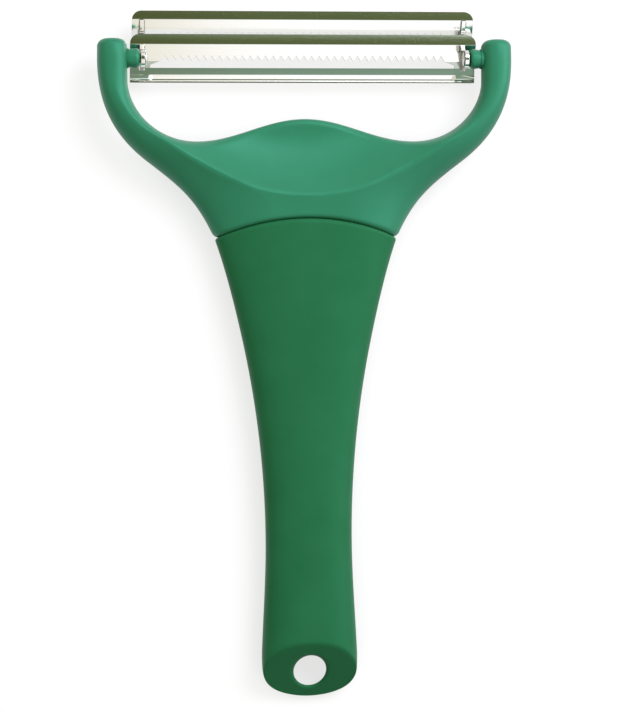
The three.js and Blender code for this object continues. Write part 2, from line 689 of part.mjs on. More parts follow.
const bladeUnit = new THREE.Group();
bladeUnit.add(meshOf('front_blade', frontBladeBody(), steel));
bladeUnit.add(meshOf('rear_blade', rearBladeBody(), steel));

for (const [name, side] of Object.entries(SIDES)) {
  handle.add(meshOf(`pivot_bush_${name}`, bushBody(side), green));
  bladeUnit.add(meshOf(`cheek_${name}`, cheekBody(side), steel));
  bladeUnit.add(meshOf(`pivot_pin_${name}`, pinBody(side), steel));
}

// The origin lies on the surface under the middle of the whole length.
const part = new THREE.Group();
part.add(handle, bladeUnit);
part.position.set(0, (HANDLE_DROP - BLADE_TOP) / 2, PIVOT_HEIGHT);

export default part;
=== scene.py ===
# Looks of a wide two-blade cabbage shredder: a green Y-shaped handle with a swinging steel blade unit.
# Shapes are drawn in millimetres from the pivot axis of the blade unit: x to the right arm, y to the
# blade end, z to the thumb side. A drop runs from that axis towards the butt.
import json
import math

import bmesh
import bpy
import numpy as np
from mathutils import Matrix, Vector


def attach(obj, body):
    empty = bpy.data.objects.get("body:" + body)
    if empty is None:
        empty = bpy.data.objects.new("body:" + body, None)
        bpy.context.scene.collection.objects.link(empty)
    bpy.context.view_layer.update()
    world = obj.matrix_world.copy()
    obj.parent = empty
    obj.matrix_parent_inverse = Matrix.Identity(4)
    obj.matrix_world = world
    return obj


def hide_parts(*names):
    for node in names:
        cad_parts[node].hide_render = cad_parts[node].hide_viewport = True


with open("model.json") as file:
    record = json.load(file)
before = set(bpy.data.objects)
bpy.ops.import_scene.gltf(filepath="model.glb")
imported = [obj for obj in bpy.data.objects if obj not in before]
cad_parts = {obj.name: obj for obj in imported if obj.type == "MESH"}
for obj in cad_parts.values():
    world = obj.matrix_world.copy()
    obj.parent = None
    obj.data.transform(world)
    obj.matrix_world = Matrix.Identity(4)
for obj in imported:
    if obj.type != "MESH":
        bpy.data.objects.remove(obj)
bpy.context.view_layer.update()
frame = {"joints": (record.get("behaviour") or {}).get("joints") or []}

MM = 0.001
TINY = 0.001  # millimetres that count as none
PIVOT = np.array(frame["joints"][0]["pos_m"])
SIDES = {"left": -1, "right": 1}

# Handle
HANDLE_DROP = 181.7  # pivot axis to the end of the butt
PIVOT_HEIGHT = 12.5  # pivot axis above the surface that the handle lies on
LAND_CUT = 0.35  # how deep the round back is cut flat where it rests
LAND_ROUND = 0.1  # rounding at the edge of that flat
SECTION_POWER = 2.3  # squareness of the rounded sections, 2 is an ellipse
FIT = 0.2  # clearance between pieces that fit in each other

# Arms and yoke
OUTER_HALF = 59.0  # centre line to the outside of an arm
ARM_WIDTH = 8.5
ARM_DEPTH = 10.0
ARM_RISE = 5.4  # tip of the arm above the pivot axis
ARM_STRAIGHT = 6.0  # straight inner edge below the pivot axis
TIP_ROUND = 2.3
TROUGH_HALF = 31.1  # centre line to the lowest point of the upper edge
TROUGH_DROP = 23.2
TROUGH_SWEEP = 12.0  # how broadly the upper edge rounds the trough
ARM_SWEEP = 8.0  # how far the inner edge runs on along the arm before it turns
HUMP_DROP = 16.8
SHOULDER_SWEEP = 13.0  # how far the outer edge runs on along the arm before it turns
FLANK_HALF = 44.9  # where the outer edge turns from convex to hollow
FLANK_DROP = 29.0
FLANK_LEAN = math.radians(53)  # from the y axis at that point
FLANK_SWEEP = 12.0
NECK_LEAN = math.radians(25)  # from the y axis where the outer edge meets the grip
OUTER_LAG = 1.35  # the outer edge of the yoke starts slower than the inner edge
SCOOP_START = 0.15  # share of the arm where the scoop begins

# Thumb scoop
RIDGE_DROP = 38.6  # crest below the scoop, on the centre line
RIDGE_ARM_HALF = 45.7  # where the crest runs out on the arm
RIDGE_ARM_DROP = 19.2
RIDGE_ROUND = 0.8
CREST_RISE = 1.0  # crest above the front of the grip
BOWL_RUN = 4.4  # from the hump's rim to the deepest line of the scoop
FLANK_POWER = 1.25  # squareness of the front beside the crest, 1 is a straight slope
FLANK_GROWTH = 2.0  # how late the rounding of the outer edge widens towards the seam
RIM_FRONT = -1.0  # front of the hump's rim from the pivot axis
RIM_DEPTH = 5.0  # thickness of the hump's rim, front to back
RIM_ROUND = 2.2
BACK_RISE_DROP = 36.0  # the back is at full depth from here to the butt

# Grip
SEAM_DROP = 45.3  # seam between yoke and grip, on the centre line
SEAM_SAG = 5.1  # how far the seam falls from the centre line to the sides
SEAM_HALF = 26.2  # half the width at the seam
SEAM_GAP = 0.08
SEAM_FADE = 30.0  # length over which the sections of the grip straighten
SEAM_ROUND = 1.3  # rounding of the two edges at the seam
WAIST_HALF = 12.3
WAIST_FROM_END = 45.0
WAIST_DIP = 1.2  # front of the waist below the front of the seam
WAIST_RELIEF = 1.0  # back of the waist above the surface
BUTT_HALF = 13.6
BUTT_ROUND = 13.0  # length of the rounded end
BUTT_POWER = 4.0  # squareness of its corners seen from the front
BUTT_TIP_POWER = 1.9  # squareness of its tip, below 2 it is slightly pointed
BUTT_EDGE_POWER = 6.0  # squareness of that end seen from the side
BUTT_START = 158.0  # drop where the rings of the grip end and the rays of the butt start
FACET_LENGTH = 16.3  # slanted face in front of the hang hole
FACET_SLOPE = math.tan(math.radians(39))
FACET_ROUND = 0.5  # rounding of its edges
HOLE_RADIUS = 4.65  # at the slanted face
HOLE_BACK_RADIUS = 6.2  # at the back, so that the wall leans outwards
HOLE_ROUND = 1.2  # rounding of both rims
HOLE_FROM_END = 7.9
WALL = 2.6  # wall of the hollow grip
CAVITY_FROM_END = 30.0  # solid length of the butt
TANG_LENGTH = 42.0  # tongue of the yoke inside the grip
TANG_ROOT = 6.0  # length of the tongue that is one with the yoke

# Pivots
BOSS_RADIUS = 2.85
BOSS_LENGTH = 3.5  # boss standing in from the arm
BOSS_ROUND = 1.2
BOSS_CREASE = 0.35  # depth of the crease between boss and arm
BOSS_SEAT = 0.8  # depth of the boss's seat in the arm
SPIGOT_RADIUS = 2.2
SPIGOT_LENGTH = 4.0  # spigot beyond the seat
PIN_RADIUS = 1.3
PIN_END = 4.6  # length of the pin inside the boss
HEAD_RADIUS = 2.0
HEAD_HEIGHT = 0.5

# Blade unit
SHEET = 0.6
SIDE_PLAY = 1.0  # blade end to arm
END_PLAY = 0.3  # cheek to boss
LIP_HEIGHT = 2.85  # flat strip along the upper edge of the front blade
REAR_LIP = 2.4  # the same on the rear blade
LIP_CORNER = 2.7
LIP_CROWN = 0.15  # how far the front blade's lip falls back at its edge
REAR_CROWN = 0.05  # the same on the rear blade
LIP_SET_BACK = 3.6  # pivot axis to the middle of the front blade's lip
SLOPE_RUN = 4.45  # sloping strip between the lip and the tooth tips
SLOPE_FALL = math.tan(math.radians(29))
BEND_ROUND = 0.1  # rounding of the bends
CORNER_SHARE = 0.45  # most of a straight stretch that the rounding of one bend takes
TOOTH_PITCH = 2.2
TOOTH_DEPTH = 1.43
WINDOW_HEIGHT = 2.0  # tooth tips to the guard
WINDOW_MARGIN = 1.8  # end of the window to the cheek
WINDOW_SLANT = 2.6  # length of the slanted ends of the window
WINDOW_END = 0.9  # height of the ends of the window
GUARD_STEP = 0.4  # guard behind the tooth tips
GUARD_FLAT = 1.9  # leaning strip, then a slope down to a groove and a hem
GUARD_LEAN = math.tan(math.radians(7))
GUARD_SLOPE = 1.1
GUARD_DEPTH = 0.6
GUARD_GROOVE = 0.45
HEM_RUN = 0.35
HEM_RISE = 0.22
HEM_EDGE = 0.3
GUARD_CORNER = 0.8
GUARD_FADE = 0.8  # half the length over which the guard turns into its plain ends
BLADE_PITCH = 6.67  # rear blade above the front blade
REAR_SET_BACK = 0.6  # rear blade behind the front blade
REAR_INSET = 0.6  # end of the rear blade inside the end of the front blade
CHEEK = 1.2
CHEEK_RIB = 0.6  # the cheek stands this far out of the rear blade's slope
RIB_END = 0.3  # end of that rib below the bend of the rear blade
LOBE_HALF = 2.5  # half the width of the cheek at the pivot
RUNNER_SET_BACK = 7.9  # back edge of the cheeks behind the pivot axis
EDGE_BREAK = 0.07  # rounding of the blades' edges
CHEEK_ROUND = 0.25  # rounding of the cheeks' edges

# Worked out from the sizes above
INNER_HALF = OUTER_HALF - ARM_WIDTH
FRONT = ARM_DEPTH / 2
BACK = -PIVOT_HEIGHT - LAND_CUT
RIM_BACK = RIM_FRONT - RIM_DEPTH
SEAM_SIDE_DROP = SEAM_DROP + SEAM_SAG
SEAM_RADIUS = (SEAM_HALF**2 + SEAM_SAG**2) / (2 * SEAM_SAG)
WAIST_DROP = HANDLE_DROP - WAIST_FROM_END
BUTT_DROP = HANDLE_DROP - BUTT_ROUND
HOLE_DROP = HANDLE_DROP - HOLE_FROM_END
CAVITY_DROP = HANDLE_DROP - CAVITY_FROM_END
RIDGE_CURVE = (RIDGE_DROP - RIDGE_ARM_DROP) / RIDGE_ARM_HALF**2
BOSS_END = INNER_HALF - BOSS_LENGTH
BOSS_BASE = INNER_HALF + BOSS_SEAT
CHEEK_OUTER = BOSS_END - END_PLAY
CHEEK_INNER = CHEEK_OUTER - CHEEK
BLADE_HALF = INNER_HALF - SIDE_PLAY
LIP_TOP = SLOPE_RUN + LIP_HEIGHT
EDGE_SET_BACK = LIP_SET_BACK + SLOPE_RUN * SLOPE_FALL
GUARD_STEPS = np.cumsum([0, GUARD_FLAT, GUARD_SLOPE, GUARD_GROOVE, HEM_RUN, HEM_EDGE])
GUARD_BOTTOM = -WINDOW_HEIGHT - GUARD_STEPS[-1]
REAR_HALF = BLADE_HALF - REAR_INSET
WINDOW_HALF = CHEEK_INNER - WINDOW_MARGIN
TOOTH_COUNT = int(2 * (WINDOW_HALF - WINDOW_SLANT) / TOOTH_PITCH)
TOOTHED_HALF = TOOTH_COUNT * TOOTH_PITCH / 2

# Fineness of the meshes
FRONT_STEPS = 80  # across the front of the yoke
BACK_STEPS = 40  # across its back
CAP_ROWS = 8  # round the tip of an arm
ARM_ROWS = 70
ARM_ROW_POWER = 1.5  # above 1 the rows of an arm lie closer together towards the trough
HUMP_ROWS = 60
EDGE_STEPS = 160  # along one curve of an outline
AROUND = 128  # points around a section of the grip
GRIP_ROWS = 90
CAVITY_ROWS = 24
LIP_ROWS = 6  # round the edge of the grip at the seam
CROWN_STEPS = 6  # across the lip of a blade
OUTLINE_STEPS = 48  # along half the rounded end of the butt
RADIAL_STEPS = 36  # from the hang hole to the outline of the butt
WALL_STEPS = 4  # down the wall of the hang hole
LATHE_STEPS = 64  # round a turned piece
ARC_STEPS = 10  # round a small corner
BEVEL_STEPS = 2  # across a broken edge

# Degrees above which an edge stays sharp
MOULDED_EDGE = 50
TURNED_EDGE = 40
SHEET_EDGE = 25


def lerp(a, b, share):
    return a + (b - a) * share


def smoothstep(value, low, high):
    share = np.clip((value - low) / (high - low), 0, 1)
    return share * share * (3 - 2 * share)


def soft_min(a, b, reach):
    """The smaller of two heights, with the crease between them rounded."""
    near = np.maximum(reach - np.abs(a - b), 0)
    return np.minimum(a, b) - near * near / (4 * reach)


def rounding(distance, reach, power=SECTION_POWER):
    """0 at an edge, 1 from a distance of reach inwards, round in between."""
    outside = 1 - np.clip(distance / reach, 0, 1)
    return (1 - outside**power) ** (1 / power)


def fillet(distance, radius):
    """How far a quarter-round edge falls at a distance from its end."""
    outside = 1 - np.clip(distance / radius, 0, 1)
    return radius * (1 - np.sqrt(1 - outside * outside))


def eased(count):
    """Shares from 0 to 1, closer together at both ends."""
    return (1 - np.cos(np.linspace(0, np.pi, count))) / 2


# Meshes


def mesh_object(name, points, faces):
    """A smooth object from points in millimetres; points at one place become one."""
    mesh = bpy.data.meshes.new(name)
    mesh.from_pydata(np.asarray(points) * MM + PIVOT, [], faces)
    shape = bmesh.new()
    shape.from_mesh(mesh)
    bmesh.ops.remove_doubles(shape, verts=shape.verts, dist=TINY * MM)
    bmesh.ops.recalc_face_normals(shape, faces=shape.faces)
    shape.to_mesh(mesh)
    shape.free()
    piece = bpy.data.objects.new(name, mesh)
    bpy.context.scene.collection.objects.link(piece)
    return piece


def grid_faces(rows, columns, first=0):
    """Quads between rows of points, each row being a closed loop."""
    row, column = np.meshgrid(np.arange(rows - 1), np.arange(columns), indexing="ij")
    a = first + row * columns + column
    b = first + row * columns + (column + 1) % columns
    return np.stack([a, b, b + columns, a + columns], axis=-1).reshape(-1, 4).tolist()


def loft(name, rows):
    """A closed skin over loops of points, with a flat face on the first and the last loop."""
    count, columns = rows.shape[:2]
    ends = [list(range(columns)), list(range((count - 1) * columns, count * columns))]
    return mesh_object(name, rows.reshape(-1, 3), grid_faces(count, columns) + ends)


def lathe(name, profile, side):
    """A turned piece on the pivot axis from (radius, distance from the centre line)."""
    radius, out = np.array(profile).T
    angle = np.linspace(0, 2 * np.pi, LATHE_STEPS, endpoint=False)
    y = radius[:, None] * np.cos(angle)
    z = radius[:, None] * np.sin(angle)
    x = np.broadcast_to(side * out[:, None], y.shape)
    rows = np.stack([x, y, z], axis=-1)
    return mesh_object(name, rows.reshape(-1, 3), grid_faces(len(profile), LATHE_STEPS))


def prism(name, outline, low, high, axis):
    """An outline of two coordinates, pulled from low to high along axis 0 (x) or 2 (z)."""
    outline = np.asarray(outline, float)
    ends = [np.insert(outline, axis, level, axis=1) for level in (low, high)]
    count = len(outline)
    faces = [list(range(count)), list(range(count, 2 * count))] + grid_faces(2, count)
    return mesh_object(name, np.concatenate(ends), faces)


def combine(body, tool, operation):
    """Joins tool to body or cuts body with it, and removes tool."""
    change = body.modifiers.new(operation, "BOOLEAN")
    change.operation = operation
    change.solver = "EXACT"
    change.object = tool
    depsgraph = bpy.context.evaluated_depsgraph_get()
    mesh = bpy.data.meshes.new_from_object(body.evaluated_get(depsgraph))
    body.modifiers.clear()
    body.data = mesh
    bpy.data.objects.remove(tool)
    return body


def smooth(piece, sharp_above):
    """Smooth shading, apart from edges that turn by more than an angle in degrees."""
    piece.data.shade_smooth()
    piece.data.set_sharp_from_angle(angle=math.radians(sharp_above))
    return piece


def break_edges(piece, width):
    """A small round on every real edge."""
    bevel = piece.modifiers.new("edges", "BEVEL")
    bevel.width = width * MM
    bevel.segments = BEVEL_STEPS
    bevel.limit_method = "ANGLE"
    bevel.angle_limit = math.radians(SHEET_EDGE)
    bevel.harden_normals = True
    return smooth(piece, SHEET_EDGE)


def finish_piece(piece, body, node, material):
    piece.data.materials.clear()
    piece.data.materials.append(material)
    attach(piece, body)
    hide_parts(node)
    return piece


# Outlines of the handle, right half


def bezier(a, b, c, d):
    t = np.linspace(0, 1, EDGE_STEPS)[:, None]
    a, b, c, d = (np.array(point) for point in (a, b, c, d))
    return a * (1 - t) ** 3 + 3 * b * t * (1 - t) ** 2 + 3 * c * t * t * (1 - t) + d * t**3


def along(edge, share):
    """Points at shares of an edge's length."""
    run = np.concatenate([[0], np.cumsum(np.linalg.norm(np.diff(edge, axis=0), axis=1))])
    return np.stack([np.interp(share * run[-1], run, edge[:, i]) for i in (0, 1)], axis=-1)


def sweep(length, lean):
    return np.array([length * math.sin(lean), length * math.cos(lean)])


flank = np.array([FLANK_HALF, -FLANK_DROP])
neck = np.array([SEAM_HALF, -SEAM_SIDE_DROP])
flank_run = sweep(FLANK_SWEEP, FLANK_LEAN)
outer_edge = np.concatenate([
    bezier([OUTER_HALF, 0], [OUTER_HALF, -SHOULDER_SWEEP], flank + flank_run, flank),
    bezier(flank, flank - flank_run, neck + sweep(FLANK_SWEEP, NECK_LEAN), neck)[1:],
])
bend = [INNER_HALF, -ARM_STRAIGHT]
after_bend = [INNER_HALF, -ARM_STRAIGHT - ARM_SWEEP]
before_trough = [TROUGH_HALF + TROUGH_SWEEP, -TROUGH_DROP]
trough = [TROUGH_HALF, -TROUGH_DROP]
inner_edge = np.concatenate([[[INNER_HALF, 0]], bezier(bend, after_bend, before_trough, trough)])


def yoke_half(y):
    return np.interp(-y, -outer_edge[:, 1], outer_edge[:, 0])


def hump_drop(x):
    wave = np.cos(np.pi * x / TROUGH_HALF)
    return (TROUGH_DROP + HUMP_DROP - wave * (TROUGH_DROP - HUMP_DROP)) / 2


def seam_fall(x):
    return SEAM_RADIUS - np.sqrt(SEAM_RADIUS**2 - np.minimum(np.abs(x), SEAM_HALF) ** 2)


def draw_in_at_seam(points, direction):
    """Rounds the edge of the yoke (direction 1) or the grip (-1) where the two meet."""
    x, y, z = points[..., 0], points[..., 1], points[..., 2]
    start = SEAM_DROP if direction > 0 else SEAM_DROP + SEAM_GAP
    fall = fillet(direction * (y + start + seam_fall(x)), SEAM_ROUND)
    middle = (FRONT + BACK) / 2
    points[..., 0] = x * (1 - fall / SEAM_HALF)
    points[..., 2] = middle + (z - middle) * (1 - fall / (FRONT - middle))
    return points


def land(z):
    """The back, flat where it would reach below the surface that it lies on."""
    return -soft_min(-z, np.full_like(z, PIVOT_HEIGHT), LAND_ROUND)


# Yoke


def crest_line(x):
    return RIDGE_CURVE * x * x - RIDGE_DROP


def above_seam(x, y):
    """0 at the seam, 1 from the crest upwards."""
    seam = -SEAM_DROP - seam_fall(x)
    return np.clip((y - seam) / (crest_line(x) - seam), 0, 1)


def scoop_height(x, y):
    """A bowl from the hump up to the crest, deepest at BOWL_RUN from the hump."""
    run = RIDGE_DROP - HUMP_DROP
    below = np.maximum(run - (y - crest_line(x)), 0)
    rise = below * (below - 2 * BOWL_RUN) / (run * (run - 2 * BOWL_RUN))
    return lerp(RIM_FRONT, FRONT + CREST_RISE, rise)


def yoke_skin(inner, outer, side, spread, inset):
    """Loops round the yoke, one for each pair of points on its inner and its outer edge."""
    spread, inset = spread[:, None], inset[:, None]
    half_arm = ARM_WIDTH / 2 - inset
    width = np.linalg.norm(outer - inner, axis=1)[:, None]

    def sheet(shares, front):
        x = lerp(inner[:, :1], outer[:, :1], shares)
        y = lerp(inner[:, 1:], outer[:, 1:], shares)
        grow = np.clip((-y - ARM_STRAIGHT) / (SEAM_SIDE_DROP - ARM_STRAIGHT), 0, 1) ** FLANK_GROWTH
        outer_reach = lerp(half_arm, yoke_half(y), grow)
        inner_reach = lerp(half_arm, RIM_ROUND, spread)
        rise = spread * above_seam(x, y)
        power = lerp(SECTION_POWER, FLANK_POWER, rise) if front else SECTION_POWER
        at_outer = rounding(yoke_half(y) - inset - x, outer_reach, power)
        at_edges = at_outer * rounding(shares * width, inner_reach)
        level = spread * lerp((RIM_FRONT + RIM_BACK) / 2, (FRONT + BACK) / 2, shares)
        if front:
            scoop = lerp(FRONT + RIDGE_ROUND, scoop_height(x, y), spread)
            reach = soft_min(scoop, FRONT + CREST_RISE * rise, RIDGE_ROUND) - inset
        else:
            fall = smoothstep(-y, HUMP_DROP, BACK_RISE_DROP)
            reach = lerp(-ARM_DEPTH / 2, lerp(RIM_BACK, BACK, fall), spread) + inset
        z = lerp(level, reach, at_edges)
        return np.stack([side * x, y, z if front else land(z)], axis=-1)

    backs = sheet(eased(BACK_STEPS + 1), False)
    fronts = sheet(eased(FRONT_STEPS + 1)[::-1], True)
    return np.concatenate([backs, fronts], axis=1)


def yoke_rows(side):
    """Loops from the tip of one arm to the centre line."""
    turn = np.linspace(np.pi / 2, 0, CAP_ROWS, endpoint=False)
    tip_inset = TIP_ROUND * (1 - np.cos(turn))
    tip_y = ARM_RISE - TIP_ROUND * (1 - np.sin(turn))
    tip_inner = np.stack([INNER_HALF + tip_inset, tip_y], axis=-1)
    tip_outer = np.stack([OUTER_HALF - tip_inset, tip_y], axis=-1)
    share = 1 - (1 - np.linspace(0, 1, ARM_ROWS + 1)) ** ARM_ROW_POWER
    arm_inner, arm_outer = along(inner_edge, share), along(outer_edge, share**OUTER_LAG)
    toward = np.linspace(1, 0, HUMP_ROWS + 1)[1:]
    x_in, x_out = TROUGH_HALF * toward, SEAM_HALF * toward
    hump_inner = np.stack([x_in, -hump_drop(x_in)], axis=-1)
    hump_outer = np.stack([x_out, -SEAM_DROP - seam_fall(x_out)], axis=-1)
    inner = np.concatenate([tip_inner, arm_inner, hump_inner])
    outer = np.concatenate([tip_outer, arm_outer, hump_outer])
    spread = np.concatenate([0 * turn, smoothstep(share, SCOOP_START, 1), np.ones(HUMP_ROWS)])
    inset = np.concatenate([tip_inset, np.zeros(ARM_ROWS + 1 + HUMP_ROWS)])
    return draw_in_at_seam(yoke_skin(inner, outer, side, spread, inset), 1)


def make_yoke(material):
    rows = np.concatenate([yoke_rows(1), yoke_rows(-1)[::-1][1:]])
    yoke = loft("yoke_moulding", rows)
    drops = np.linspace(SEAM_SIDE_DROP - TANG_ROOT, SEAM_SIDE_DROP + TANG_LENGTH, CAVITY_ROWS)
    tang = loft("tang", grip_skin(drops, WALL + FIT))
    combine(yoke, tang, "UNION")
    smooth(yoke, MOULDED_EDGE)
    return finish_piece(yoke, "handle", "yoke", material)


# Grip


def bulge(value):
    return np.sign(value) * np.abs(value) ** (2 / SECTION_POWER)


def flare(drop):
    """1 at the seam, 0 at the waist, and from there up to 1 again at the butt."""
    above = ((WAIST_DROP - drop) / (WAIST_DROP - SEAM_SIDE_DROP)) ** 2
    share = np.clip((drop - WAIST_DROP) / (BUTT_DROP - WAIST_DROP), 0, 1)
    return np.where(drop < WAIST_DROP, above, share * share * (2 - share))


def grip_half(drop):
    end = np.clip((drop - BUTT_DROP) / BUTT_ROUND, 0, 1)
    half = lerp(WAIST_HALF, np.where(drop < WAIST_DROP, SEAM_HALF, BUTT_HALF), flare(drop))
    return half * (1 - end**BUTT_POWER) ** (1 / BUTT_TIP_POWER)


def grip_front(drop):
    return FRONT - WAIST_DIP * np.where(drop < WAIST_DROP, 1 - flare(drop), 1)


def grip_back(drop):
    return BACK + (WAIST_RELIEF + LAND_CUT) * (1 - flare(drop))


def grip_skin(drop, inset):
    """Loops round the grip, drawn in by inset. Near the seam they bend to the seam's arc."""
    drop = np.asarray(drop)[:, None]
    front, back = grip_front(drop) - inset, grip_back(drop) + inset
    angle = np.linspace(0, 2 * np.pi, AROUND, endpoint=False)
    x = (grip_half(drop) - inset) * bulge(np.cos(angle))
    z = (front + back) / 2 + (front - back) / 2 * bulge(np.sin(angle))
    arc = np.clip(1 - (drop - SEAM_SIDE_DROP) / SEAM_FADE, 0, 1) ** 2
    y = -drop + arc * (SEAM_SAG - seam_fall(x))
    return np.stack([x, y, land(z)], axis=-1)


def butt_heights(x, y):
    """Front and back of the butt, with the slanted facet."""
    drop = -y
    end = np.clip((drop - BUTT_DROP) / BUTT_ROUND, 0, 1)
    front, back = grip_front(drop), grip_back(drop)
    facet = front + (HANDLE_DROP - FACET_LENGTH - drop) * FACET_SLOPE
    middle = soft_min((front + back) / 2, facet - FACET_ROUND, FACET_ROUND)
    across = np.clip(np.abs(x) / np.maximum(grip_half(drop), TINY), 0, 1)
    fullness = (1 - end**BUTT_EDGE_POWER) ** (1 / BUTT_EDGE_POWER)
    fullness = fullness * (1 - across**SECTION_POWER) ** (1 / SECTION_POWER)
    top = np.maximum(soft_min(lerp(middle, front, fullness), facet, FACET_ROUND), middle)
    return top, land(lerp(middle, back, fullness))


def hole_rim(plan, radius):
    """How far the round rim of the hang hole draws a face in."""
    return fillet(np.hypot(plan[..., 0], plan[..., 1] + HOLE_DROP) - radius, HOLE_ROUND)


def butt_rows():
    """Loops from the front of the butt through the hang hole to its back, as rays from the hole."""
    angle = np.linspace(0, np.pi, AROUND // 2 + 1)
    across = grip_half(BUTT_START) * bulge(np.cos(angle))
    cross = np.stack([across, np.full_like(angle, -BUTT_START)], axis=-1)
    straight = np.linspace(BUTT_START, BUTT_DROP, OUTLINE_STEPS // 2)[1:]
    around = BUTT_DROP + BUTT_ROUND * np.sin(np.linspace(0, np.pi / 2, OUTLINE_STEPS)[1:])
    drops = np.concatenate([straight, around])
    left = np.stack([-grip_half(drops), -drops], axis=-1)
    right = left[-2::-1] * [-1, 1]
    outline = np.concatenate([cross, left, right])
    hole = np.array([0, -HOLE_DROP])
    ray = outline - hole
    shares = eased(RADIAL_STEPS + 1)[::-1, None, None]
    length = np.linalg.norm(ray, axis=1)[:, None]
    radii = (HOLE_RADIUS, HOLE_BACK_RADIUS)
    front, back = (hole + ray * lerp(radius / length, 1, shares) for radius in radii)
    top = butt_heights(front[..., 0], front[..., 1])[0] - hole_rim(front, HOLE_RADIUS)
    bottom = butt_heights(back[..., 0], back[..., 1])[1] + hole_rim(back, HOLE_BACK_RADIUS)
    walls = np.linspace(0, 1, WALL_STEPS + 2)[1:-1, None]
    wall_plan = lerp(front[-1], back[-1], walls[..., None])
    z = np.concatenate([top, lerp(top[-1], bottom[-1], walls), bottom[::-1]])
    plan = np.concatenate([front, wall_plan, back[::-1]])
    return np.concatenate([plan, z[..., None]], axis=-1)


def make_grip(material):
    start = SEAM_SIDE_DROP + SEAM_GAP
    lip = start + SEAM_ROUND * 2 * eased(2 * LIP_ROWS)[:LIP_ROWS]
    rest = np.linspace(start + SEAM_ROUND, BUTT_START, GRIP_ROWS)
    skin = draw_in_at_seam(grip_skin(np.concatenate([lip, rest]), 0), -1)
    inside = grip_skin(np.linspace(CAVITY_DROP, start, CAVITY_ROWS), WALL)
    rows = np.concatenate([inside, skin])
    count = rows.shape[0]
    points = rows.reshape(-1, 3)
    faces = grid_faces(count, AROUND) + [list(range(AROUND))]
    butt = butt_rows()
    faces += grid_faces(*butt.shape[:2], first=len(points))
    grip = mesh_object("grip_moulding", np.concatenate([points, butt.reshape(-1, 3)]), faces)
    smooth(grip, MOULDED_EDGE)
    return finish_piece(grip, "handle", "grip", material)


# Pivots


def quarter_round(radius):
    """(in, along) of a quarter round, from the face to the side."""
    turn = np.linspace(0, np.pi / 2, ARC_STEPS + 1)
    return list(zip(radius * (1 - np.sin(turn)), radius * (1 - np.cos(turn))))


def make_bush(name, side, material):
    bore, bore_end = PIN_RADIUS + FIT, BOSS_END + PIN_END + END_PLAY
    base, end = BOSS_BASE - FIT, BOSS_BASE + SPIGOT_LENGTH
    rim = [(BOSS_RADIUS - inset, BOSS_END + out) for inset, out in quarter_round(BOSS_ROUND)]
    hollow = quarter_round(BOSS_CREASE)[::-1]
    crease = [(BOSS_RADIUS - out, INNER_HALF - inset) for inset, out in hollow]
    waist = BOSS_RADIUS - BOSS_CREASE
    profile = [(0, bore_end), (bore, bore_end), (bore, BOSS_END), *rim, *crease]
    profile += [(waist, base), (SPIGOT_RADIUS, base), (SPIGOT_RADIUS, end), (0, end)]
    bush = lathe(f"bush_{name}", profile, side)
    smooth(bush, TURNED_EDGE)
    return finish_piece(bush, "handle", f"pivot_bush_{name}", material)


def make_pin(name, side, material):
    under, end = CHEEK_INNER - FIT, BOSS_END + PIN_END
    turn = np.linspace(0, np.pi / 2, ARC_STEPS + 1)
    dome = list(zip(HEAD_RADIUS * np.sin(turn), under - HEAD_HEIGHT * np.cos(turn)))
    pin = lathe(f"pin_{name}", [*dome, (PIN_RADIUS, under), (PIN_RADIUS, end), (0, end)], side)
    smooth(pin, TURNED_EDGE)
    return finish_piece(pin, "blade_unit", f"pivot_pin_{name}", material)


# Blade unit


def beside(line, distance):
    """A line in (y, z) moved sideways, to the front for a positive distance."""
    line = np.asarray(line, float)
    step = np.diff(line, axis=0)
    normal = np.stack([step[:, 1], -step[:, 0]], axis=-1)
    normal /= np.linalg.norm(normal, axis=1)[:, None]
    before = np.concatenate([normal[:1], normal])
    after = np.concatenate([normal, normal[-1:]])
    across = before + after
    across /= np.linalg.norm(across, axis=1)[:, None]
    return line + across * (distance / np.sum(across * before, axis=1))[:, None]


def rounded(line, radius):
    """The same line with its corners rounded."""
    line = np.asarray(line, float)
    turned = [line[:1]]
    t = np.linspace(0, 1, ARC_STEPS)[:, None]
    for before, corner, after in zip(line, line[1:], line[2:]):
        reach = [min(radius, np.linalg.norm(end - corner) * CORNER_SHARE) for end in (before, after)]
        a = corner + (before - corner) / np.linalg.norm(before - corner) * min(reach)
        b = corner + (after - corner) / np.linalg.norm(after - corner) * min(reach)
        turned.append(a * (1 - t) ** 2 + 2 * corner * t * (1 - t) + b * t * t)
    return np.concatenate([*turned, line[-1:]])


def lip_and_slope(height, crown):
    """Middle of a blade's sheet in (y, z): a lip that falls back by crown at its edge, and the slope."""
    share = np.linspace(1, 0, CROWN_STEPS)
    lip = np.stack([LIP_TOP - height * (1 - share), -LIP_SET_BACK - crown * share**2], axis=-1)
    return np.concatenate([lip, [[0, -LIP_SET_BACK - (LIP_TOP - height) * SLOPE_FALL]]])


def front_line(bead):
    """The front blade with its guard; bead is 1 along the guard and 0 at its plain ends."""
    top = -EDGE_SET_BACK - GUARD_STEP
    flat = top - GUARD_LEAN * GUARD_STEPS[1]
    groove = flat - GUARD_DEPTH
    hem = groove + HEM_RISE
    foot = lerp(top - GUARD_LEAN * GUARD_STEPS[2], groove, bead)
    guard = np.stack([-WINDOW_HEIGHT - GUARD_STEPS, [top, flat, foot, groove, hem, hem]], axis=-1)
    return np.concatenate([lip_and_slope(LIP_HEIGHT, LIP_CROWN), guard])


def rear_line():
    return lip_and_slope(REAR_LIP, REAR_CROWN) + [BLADE_PITCH, -REAR_SET_BACK]


